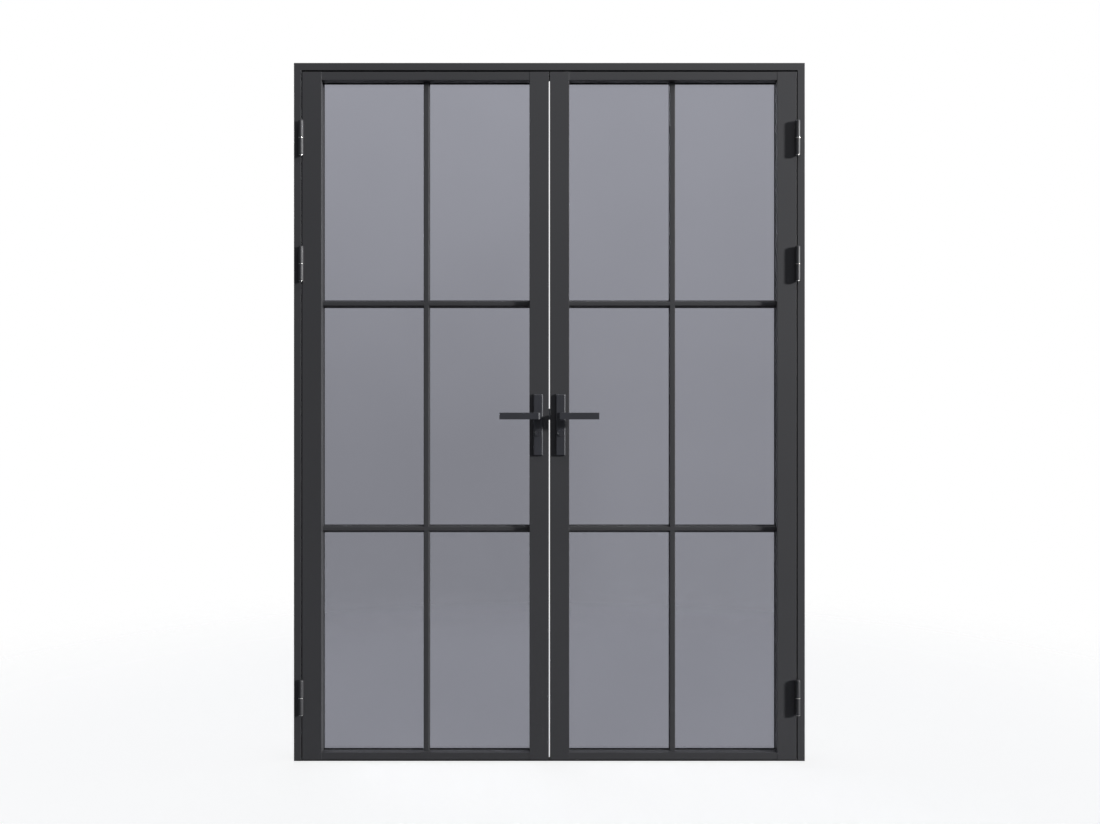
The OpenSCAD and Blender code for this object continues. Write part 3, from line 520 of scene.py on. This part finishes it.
def soften(node, slot, radius, shortest=0.0, rounds=2, where=None):
    """A copy of a CAD piece, merged, with its bulging edges rounded.

    Edges are picked that are at least the shortest length (metres), and whose middles pass where.
    """
    mesh = frame["nodes"][node].data.copy()
    mesh.name = node + "_finished"
    shell = bmesh.new()
    shell.from_mesh(mesh)
    bmesh.ops.remove_doubles(shell, verts=shell.verts, dist=WELD)
    bmesh.ops.dissolve_limit(shell, angle_limit=FLAT, verts=shell.verts, edges=shell.edges)
    shell.to_mesh(mesh)
    shell.free()
    turn, bulges, size, middle = edge_turns(mesh)
    picked = (turn > CAD_CREASE_DEG) & bulges & (size >= shortest)
    if where is not None:
        picked &= where(middle)
    weight = mesh.attributes.get("bevel_weight_edge") or mesh.attributes.new(
        "bevel_weight_edge", "FLOAT", "EDGE"
    )
    weight.data.foreach_set("value", picked.astype(np.float32))
    sharp = mesh.attributes.get("sharp_edge") or mesh.attributes.new("sharp_edge", "BOOLEAN", "EDGE")
    sharp.data.foreach_set("value", (turn > CAD_CREASE_DEG) & ~picked)
    mesh.polygons.foreach_set("use_smooth", np.ones(len(mesh.polygons), bool))
    piece = bpy.data.objects.new(node + "_finished", mesh)
    bpy.context.collection.objects.link(piece)
    rounding = piece.modifiers.new("rounded edges", "BEVEL")
    rounding.limit_method = "WEIGHT"
    rounding.offset_type = "OFFSET"
    rounding.width = radius
    rounding.segments = rounds
    rounding.use_clamp_overlap = False
    flats = piece.modifiers.new("flat faces stay flat", "WEIGHTED_NORMAL")
    flats.mode = "FACE_AREA"
    flats.weight = 80
    flats.keep_sharp = True
    return dress(piece, [node], slot)


# ---- Operators ----


class DOORS_OT_frame(bpy.types.Operator):
    """Jambs, head, floor strip, keep for the upper bolt and the seal on the stop"""

    bl_idname = "doors.frame"
    bl_label = "Frame"

    def execute(self, context):
        sizes = context.scene.door_sizes
        for node in ("left_jamb", "right_jamb", "frame_head"):
            soften(node, "frame_coat", sizes.member_edge, shortest=MEMBER_RUN, rounds=3)
        soften("threshold_strip", "frame_coat", sizes.bar_edge, shortest=MEMBER_RUN)
        self.seal()
        self.keep()
        return {"FINISHED"}

    def seal(self):
        """Seal profile: a base on the stop and a half-round bulb towards the leaf, carried up, over and down.

        Bulb: y = its foot - its height * sqrt(1 - t * t), for t from -1 to 1 across it.
        """
        low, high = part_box("frame_seals")
        inner_x = steps("frame_seals", 0)[-2]
        inner_z = steps("frame_seals", 2)[-2]
        width, depth = high[0] - inner_x, high[1] - low[1]
        # The base is three tenths of the depth. The bulb leaves about a sixth of the width free on each side.
        base, half_bulb = 0.3 * depth, 0.34
        t = np.linspace(-1, 1, 13)
        bulb = np.stack(
            [width * (0.5 + half_bulb * t), high[1] - base - (depth - base) * np.sqrt(1 - t * t)], -1
        )
        flat = [[width, high[1] - base], [width, high[1]], [0, high[1]], [0, high[1] - base]]
        u, y = np.concatenate([bulb, np.array(flat)]).T
        x = inner_x + u
        foot, top = np.full_like(u, low[2]), inner_z + u
        path = [np.stack(c, -1) for c in ((-x, y, foot), (-x, y, top), (x, y, top), (x, y, foot))]
        faces = grid_faces(4, len(u), 1)
        dress(build("stop_seal", np.array(path), faces), ["frame_seals"], "black_rubber")

    def keep(self):
        """Turned bush with an eased mouth, from its flange under the head to its upper end"""
        low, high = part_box("head_keep")
        centre = [(low[0] + high[0]) / 2, (low[1] + high[1]) / 2, low[2]]
        flange, barrel, bore = 9.5 * MM, 6.5 * MM, 4.5 * MM
        ease, rim, tall = 0.5 * MM, 1.5 * MM, high[2] - low[2]
        rows = [
            (bore, ease),
            (bore + ease, 0),
            (flange - ease, 0),
            (flange, ease),
            (flange, rim),
            (barrel, rim),
            (barrel, tall - ease),
            (barrel - ease, tall),
            (bore + ease, tall),
            (bore, tall - ease),
            (bore, ease),
        ]
        dress(turned("head_bush", plain(*rows), [centre]), ["head_keep"], "zinc_steel")


class DOORS_OT_leaves(bpy.types.Operator):
    """Stiles, rails and glazing bars of both leaves"""

    bl_idname = "doors.leaves"
    bl_label = "Leaves"

    def execute(self, context):
        sizes = context.scene.door_sizes
        for side in SIDES:
            for member in ("hinge_stile", "meeting_stile", "top_rail", "bottom_rail"):
                soften(f"{side}_{member}", "frame_coat", sizes.member_edge, shortest=MEMBER_RUN, rounds=3)
            for bar in ("upper_bar", "lower_bar", "vertical_bars"):
                soften(f"{side}_{bar}", "frame_coat", sizes.bar_edge, shortest=BAR_RUN)
        return {"FINISHED"}


class DOORS_OT_glazing(bpy.types.Operator):
    """Glass, gaskets and glazing beads"""

    bl_idname = "doors.glazing"
    bl_label = "Glazing"

    def execute(self, context):
        sizes = context.scene.door_sizes
        for side in SIDES:
            coat_node(f"{side}_glass_panes", "tinted_glass")
            soften(f"{side}_glazing_beads", "frame_coat", sizes.bead_edge, shortest=BEAD_RUN)
            self.gaskets(side, sizes)
        return {"FINISHED"}

    def gaskets(self, side, sizes):
        """Rings before and behind the glass, thick under the lip and sloped to a feather edge in sight.

        Slope: the thickness falls from full to a fifth along a quarter of a sine.
        """
        node = f"{side}_glazing_gaskets"
        x, z, y = steps(node, 0), steps(node, 2), steps(node, 1)
        # Every ring has four places along an axis: two outer ones, and between them its two inner ones
        spans_x = [x[i : i + 2] for i in range(1, len(x), 4)]
        spans_z = [z[i : i + 2] for i in range(1, len(z), 4)]
        t = np.linspace(0, 1, 7)
        outset = np.concatenate([sizes.lip_slope * t, [sizes.gasket_width, sizes.gasket_width, 0]])
        feather = 0.2
        share = np.concatenate([feather + (1 - feather) * np.sin(t * np.pi / 2), [1, 0, 0]])
        front = np.stack([outset, y[1] - (y[1] - y[0]) * share], -1)
        rear = np.stack([outset, y[2] + (y[3] - y[2]) * share], -1)
        piece = framed(f"{side}_gasket_rings", [front, rear], spans_x, spans_z)
        dress(piece, [node], "black_rubber")


class DOORS_OT_hinges(bpy.types.Operator):
    """Knuckles, washers and pins of the six barrel hinges"""

    bl_idname = "doors.hinges"
    bl_label = "Hinges"

    def execute(self, context):
        sizes = context.scene.door_sizes
        swings = [joint for joint in frame["joints"] if joint["name"].endswith("leaf_swing")]
        places = {joint["name"]: joint["pos_m"] for joint in swings}
        axes = [np.array(places[f"{side}_leaf_swing"][:2]) for side in SIDES]
        # Between the bore's radius and the barrel's
        bore = 5 * MM

        def outside(middle):
            """Edges farther from both barrel axes than the bore reaches"""
            near = np.min([np.linalg.norm(middle[:, :2] - axis, axis=1) for axis in axes], 0)
            return near > bore

        for side in SIDES:
            for part in ("frame_knuckles", "door_knuckles"):
                soften(f"{side}_{part}", "frame_coat", sizes.fitting_edge, where=outside)
        # The lower and upper face of each washer of a side
        level = steps("hinge_washers", 2).reshape(-1, 2)
        self.washers(axes, level)
        self.pins(axes)
        return {"FINISHED"}

    def washers(self, axes, level):
        """Flat ring with rounded outer corners, turned round the barrel axis"""
        outer, inner, ease = 7.5 * MM, 4.1 * MM, 0.45 * MM
        thick = level[0, 1] - level[0, 0]
        lower, upper = rounded((outer, 0), ease, False), rounded((outer, thick), ease, True)
        profile = plain((inner, 0), lower, upper, (inner, thick), (inner, 0))
        centres = [[*axis, z] for axis in axes for z in level[:, 0]]
        dress(turned("bright_washers", profile, centres), ["hinge_washers"], "bright_steel")

    def pins(self, axes):
        """Pin with a rounded collar below the barrel, and under that the pin's tip lacquered black as painted
        shade under the collar
        """
        # The places along z come in three equal runs, one for each hinge of a side
        foot = steps("hinge_pins", 2).reshape(3, -1)
        low, tall = foot[:, 0], foot[0, -1] - foot[0, 0]
        ring, pin, stub, ring_h, stub_h, ease = np.array([6.5, 4, 3, 2, 2.5, 0.5]) * MM
        centres = [[*axis, z] for axis in axes for z in low]
        ring_top = stub_h + ring_h
        profile = plain(
            (0, stub_h),
            rounded((ring, stub_h), ease, False),
            rounded((ring, ring_top), ease, True),
            (pin, ring_top),
            (pin, tall - ease),
            (pin - ease, tall),
            (0, tall),
        )
        dress(turned("bright_pins", profile, centres), ["hinge_pins"], "bright_steel")
        # The stub's top lies half an ease inside the collar
        stub_top = stub_h + ease / 2
        profile = plain((0, 0), rounded((stub, 0), ease, False), (stub, stub_top), (0, stub_top))
        # The tip takes the black lacquer, not bright steel: painted shade under the collar
        dress(turned("pin_tips_painted_shade", profile, centres), ["hinge_pins"], "handle_black")


class DOORS_OT_handles(bpy.types.Operator):
    """Levers, plates, cylinders, thumbturn and the screws that clamp the plates together"""

    bl_idname = "doors.handles"
    bl_label = "Handles"

    def execute(self, context):
        sizes = context.scene.door_sizes
        for side in SIDES:
            for face in ("outside", "inside"):
                soften(f"{side}_{face}_lever", "handle_black", sizes.fitting_edge, shortest=3 * MM, rounds=3)
                soften(f"{side}_{face}_plate", "handle_black", sizes.plate_edge, shortest=1 * MM)
            coat_node(f"{side}_spindle", "zinc_steel")
            coat_node(f"{side}_lever_hub", "zinc_steel")
            self.screws(side, sizes)
        self.cylinders(sizes)
        return {"FINISHED"}

    def screws(self, side, sizes):
        """Countersunk screws with a six-lobed recess, their heads flush with the inside plate"""
        node = f"{side}_handle_screws"
        low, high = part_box(node)
        z = steps(node, 2)
        drop = high[1] - low[1]
        head, shank, cone, ease, lip, deep = np.array([5, 2.5, 3, 0.25, 0.3, 1.8]) * MM
        profile = screw_profile(head, shank, cone, -drop, ease, sizes.recess_radius, lip, deep)
        x = (low[0] + high[0]) / 2
        centres = [[x, high[1], z[0] + head], [x, high[1], z[-1] - head]]
        piece = turned(f"{side}_plate_screws", profile, centres, axis=1, lobes=RECESS_LOBES)
        dress(piece, [node], "zinc_steel")

    def cylinders(self, sizes):
        """Lock cylinder, its plug and thumbturn, and the blank one, with eased rims"""

        # The plates end 33 mm from the leaf's middle, and the cylinders stand out past them
        past_plates = 35 * MM

        def rims(middle):
            """Edges of the ends that stand out past the plates"""
            return np.abs(middle[:, 1]) > past_plates

        soften("left_cylinder", "handle_black", sizes.plate_edge, where=rims)
        soften("right_blank_cylinder", "handle_black", sizes.plate_edge, where=rims)
        soften("left_cylinder_plug", "handle_black", sizes.plate_edge / 2, where=rims)
        soften("left_thumbturn", "handle_black", sizes.fitting_edge)


class DOORS_OT_locks(bpy.types.Operator):
    """Lock case, bolts, edge plates and their screws"""

    bl_idname = "doors.locks"
    bl_label = "Locks"

    def execute(self, context):
        sizes = context.scene.door_sizes
        for node in ("left_lock_case", "right_gear_case", "right_top_bolt", "right_bottom_bolt"):
            coat_node(node, "zinc_steel")
        for node in ("left_faceplate", "right_strike_plate"):
            soften(node, "zinc_steel", sizes.plate_edge, shortest=20 * MM)
        for node in ("left_latch_bolt", "left_deadbolt"):
            soften(node, "zinc_steel", sizes.plate_edge, shortest=3 * MM)
        for node, flip in (("left_faceplate_screws", -1), ("right_strike_screws", 1)):
            self.edge_screws(node, flip, sizes)
        return {"FINISHED"}

    def edge_screws(self, node, flip, sizes):
        """Countersunk screws with a six-lobed recess in the plates on the meeting edges"""
        low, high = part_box(node)
        z = steps(node, 2)
        head, shank, cone, ease, deep = np.array([3.6, 2, 1.6, 0.2, 1.2]) * MM
        # Their recess is one size smaller than in the handles' screws
        recess = 0.75 * sizes.recess_radius
        profile = screw_profile(head, shank, cone, high[0] - low[0], ease, recess, ease, deep)
        x = low[0] if flip > 0 else high[0]
        y = (low[1] + high[1]) / 2
        centres = [[x, y, z[0] + head], [x, y, z[-1] - head]]
        piece = turned(node + "_turned", profile, centres, axis=0, flips=flip, lobes=RECESS_LOBES)
        dress(piece, [node], "zinc_steel")


class DOORS_OT_studio(bpy.types.Operator):
    """Pale floor, white backdrop, soft lights and the camera"""

    bl_idname = "doors.studio"
    bl_label = "Studio"

    def execute(self, context):
        studio = context.scene.door_studio
        floor = self.floor(studio)
        self.walls(context.scene, studio)
        self.lights(studio, floor)
        self.camera(context.scene, studio)
        context.scene.view_settings.view_transform = "Standard"
        return {"FINISHED"}

    def floor(self, studio):
        """A round floor that fades into the backdrop: its rings are circles about the doors"""
        reach, fade_start, fade_end = 6.0, 1.3, 3.4
        rings, spokes = 24, 96
        radius = np.linspace(0, reach, rings)[:, None]
        angle = np.linspace(0, 2 * np.pi, spokes, endpoint=False)[None]
        points = np.stack([radius * np.cos(angle), radius * np.sin(angle), 0 * radius * angle], -1)
        faces = grid_faces(rings, spokes, 1)
        mesh = bpy.data.meshes.new("studio_floor")
        mesh.from_pydata(points.reshape(-1, 3).tolist(), [], faces.tolist())
        floor = bpy.data.objects.new("studio_floor", mesh)
        bpy.context.collection.objects.link(floor)
        made, tree, place = start_material("painted studio floor")
        away = add(tree, "ShaderNodeVectorMath", {0: place}, operation="LENGTH").outputs["Value"]
        far = add(
            tree,
            "ShaderNodeMapRange",
            {"Value": away, "From Min": fade_start, "From Max": fade_end},
            interpolation_type="SMOOTHSTEP",
        )
        # The floor glows for the camera and through the glass, and lights nothing: the room is large and dim
        to_camera, to_glass = 0.92, 1.1
        ray = add(tree, "ShaderNodeLightPath").outputs
        through = add(
            tree, "ShaderNodeMath", {0: ray["Is Transmission Ray"], 1: to_glass}, operation="MULTIPLY"
        )
        shown = add(
            tree,
            "ShaderNodeMath",
            {0: ray["Is Camera Ray"], 1: to_camera, 2: through.outputs[0]},
            operation="MULTIPLY_ADD",
        )
        paint = add(
            tree,
            "ShaderNodeBsdfPrincipled",
            {
                "Base Color": shades(tree, noise(tree, place, 0.6), studio.floor, spread=0.01),
                "Roughness": 0.7,
                "Emission Color": studio.floor,
                "Emission Strength": shown.outputs[0],
            },
        )
        clear = add(tree, "ShaderNodeBsdfTransparent")
        shaders = {0: far.outputs[0], 1: paint.outputs[0], 2: clear.outputs[0]}
        close_material(tree, add(tree, "ShaderNodeMixShader", shaders))
        mesh.materials.append(made)
        return floor

    def walls(self, scene, studio):
        """World: white where it is looked at, and soft grey walls, lighter above, as a light source"""
        world = bpy.data.worlds.new("studio walls")
        world.use_nodes = True
        tree = world.node_tree
        tree.nodes.clear()
        place = add(tree, "ShaderNodeTexCoord").outputs["Generated"]
        way = add(tree, "ShaderNodeSeparateXYZ", {0: place}).outputs
        # Each row is a smooth step: the part of the direction that it follows, from -1 to 1, where it starts
        # and ends, and its value below and above. The first is the walls. The other two are seen through
        # glass only: the backdrop glows high up, as a lit wall does, and on the right the key spills on it.
        walls, glow, spill = (
            add(
                tree,
                "ShaderNodeMapRange",
                {"Value": way[part], "From Min": start, "From Max": end, "To Min": below, "To Max": above},
                interpolation_type="SMOOTHSTEP",
            ).outputs[0]
            for part, start, end, below, above in (
                ("Z", -0.25, 0.5, 0.5 * studio.fill, 1.8 * studio.fill),
                ("Z", -0.12, 0.42, 0, 0.47),
                ("X", -0.05, 0.08, 0, 0.12),
            )
        )
        ray = add(tree, "ShaderNodeLightPath").outputs
        # The spill dies out where the glow grows: its share is 1 - 3.2 * glow
        lower = add(tree, "ShaderNodeMath", {0: glow, 1: -3.2, 2: 1.0}, operation="MULTIPLY_ADD")
        uneven = add(
            tree, "ShaderNodeMath", {0: spill, 1: lower.outputs[0], 2: glow}, operation="MULTIPLY_ADD"
        )
        through = add(
            tree,
            "ShaderNodeMath",
            {0: ray["Is Transmission Ray"], 1: uneven.outputs[0]},
            operation="MULTIPLY",
        )
        white = add(tree, "ShaderNodeMath", {0: through.outputs[0], 1: studio.backdrop}, operation="ADD")
        seen = add(
            tree,
            "ShaderNodeMath",
            {0: ray["Is Camera Ray"], 1: ray["Is Transmission Ray"]},
            operation="MAXIMUM",
        )
        lit = add(tree, "ShaderNodeBackground", {"Color": studio.wall, "Strength": walls})
        shown = add(tree, "ShaderNodeBackground", {"Color": (1, 1, 1, 1), "Strength": white.outputs[0]})
        shaders = {0: seen.outputs[0], 1: lit.outputs[0], 2: shown.outputs[0]}
        mixed = add(tree, "ShaderNodeMixShader", shaders)
        add(tree, "ShaderNodeOutputWorld", {"Surface": mixed.outputs[0]})
        scene.world = world

    def lights(self, studio, floor):
        """A key at the front right, a faint one above and one behind, none of which lights the floor"""
        spared = bpy.data.collections.new("not lit by the lights")
        spared.objects.link(floor)
        spared.collection_objects[0].light_linking.link_state = "EXCLUDE"
        middle = np.array([0, 0, 1.1])
        # Each light's place, power, width and height
        for name, place, power, width, height in (
            ("key light", (21.2, -9.5, 6.6), studio.key_power, 2.0, 2.0),
            ("overhead light", (0.5, -1.6, 4.6), studio.top_power, 0.8, 0.8),
            ("rear light", (-12.0, 13.5, 9.0), 0.5 * studio.key_power, 4.0, 8.0),
        ):
            lamp = bpy.data.lights.new(name, "AREA")
            lamp.shape = "RECTANGLE"
            lamp.size, lamp.size_y = width, height
            lamp.energy = power
            light = bpy.data.objects.new(name, lamp)
            light.location = place
            aim = middle - np.array(place)
            light.rotation_euler = (
                math.atan2(math.hypot(aim[0], aim[1]), -aim[2]),
                0,
                math.atan2(-aim[0], aim[1]),
            )
            light.light_linking.receiver_collection = spared
            bpy.context.collection.objects.link(light)

    def camera(self, scene, studio):
        """Level, square to the doors, half their height up"""
        view = bpy.data.cameras.new("camera")
        view.lens = studio.lens
        view.sensor_width = 36
        aside, away, up = 0.0019, 3.2416, 1.0499
        camera = bpy.data.objects.new("camera", view)
        camera.location = (aside, -away, up)
        camera.rotation_euler = (math.pi / 2, 0, 0)
        bpy.context.collection.objects.link(camera)
        scene.camera = camera


class DOORS_PT_panel(bpy.types.Panel):
    """Lists the doors' operators and settings in the sidebar"""

    bl_idname = "DOORS_PT_panel"
    bl_label = "Glazed steel doors"
    bl_space_type = "VIEW_3D"
    bl_region_type = "UI"
    bl_category = "Doors"

    def draw(self, context):
        for group in ("door_finishes", "door_sizes", "door_studio"):
            settings = getattr(context.scene, group)
            for name in settings.__annotations__:
                self.layout.prop(settings, name)
        for operator in OPERATORS:
            self.layout.operator(operator.bl_idname)


GROUPS = {"door_finishes": DoorFinishes, "door_sizes": DoorSizes, "door_studio": DoorStudio}
OPERATORS = (
    DOORS_OT_frame,
    DOORS_OT_leaves,
    DOORS_OT_glazing,
    DOORS_OT_hinges,
    DOORS_OT_handles,
    DOORS_OT_locks,
    DOORS_OT_studio,
)
CLASSES = (*GROUPS.values(), *OPERATORS, DOORS_PT_panel)


def register():
    for made in CLASSES:
        bpy.utils.register_class(made)
    for name, group in GROUPS.items():
        setattr(bpy.types.Scene, name, bpy.props.PointerProperty(type=group))


def unregister():
    for name in GROUPS:
        delattr(bpy.types.Scene, name)
    for made in reversed(CLASSES):
        bpy.utils.unregister_class(made)


def main():
    register()
    for operator in OPERATORS:
        group, name = operator.bl_idname.split(".")
        getattr(getattr(bpy.ops, group), name)()


if __name__ == "__main__":
    main()
